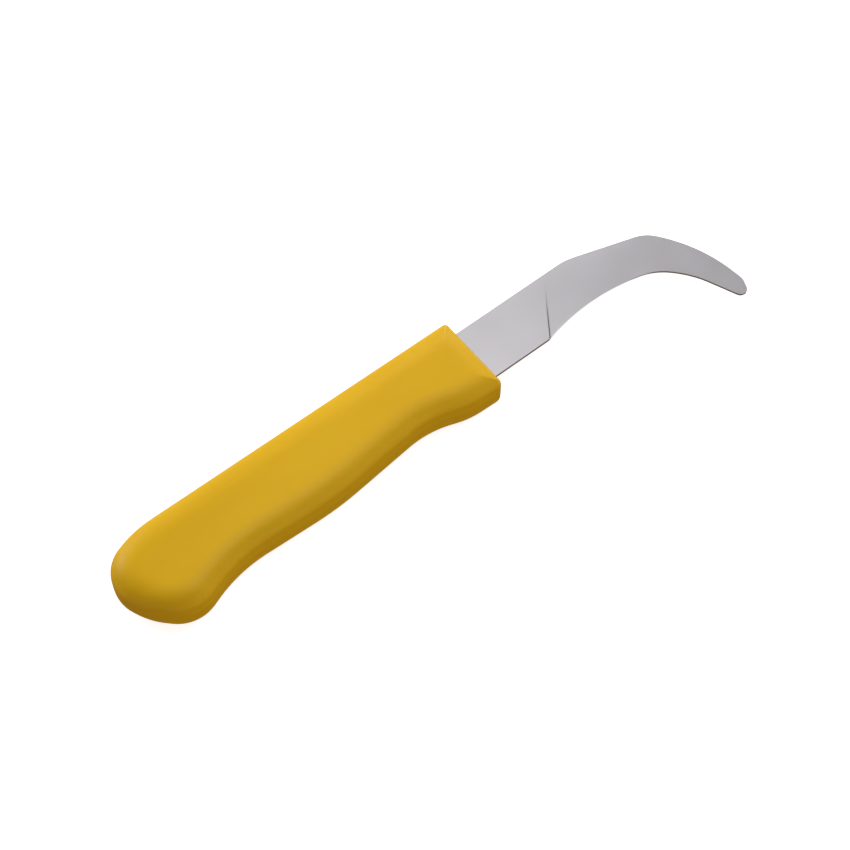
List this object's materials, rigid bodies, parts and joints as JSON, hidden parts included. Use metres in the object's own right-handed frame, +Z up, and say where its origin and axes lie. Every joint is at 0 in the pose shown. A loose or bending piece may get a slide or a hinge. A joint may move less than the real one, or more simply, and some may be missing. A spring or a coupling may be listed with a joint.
{
  "type": "hoof knife",
  "caption": "Hooked hoof-trimming knife: a thin ground steel blade with a sickle point, its tang moulded into a contoured plastic handle.",
  "frame": {"origin": "under the middle of the knife's box, on the surface it lies on", "axes": "+X along the knife from the butt to the blade, +Y from the cutting edge to the spine, +Z up through the thickness as the knife lies on its side"},
  "size_m": [0.1993, 0.0454, 0.015],
  "materials": {
    "ground_steel": "rolled and fine-ground stainless sheet, satin",
    "yellow_plastic": "semi-gloss injection-moulded yellow plastic"
  },
  "bodies": {
    "root": {"blade": "ground_steel", "handle": "yellow_plastic"}
  },
  "joints": []
}
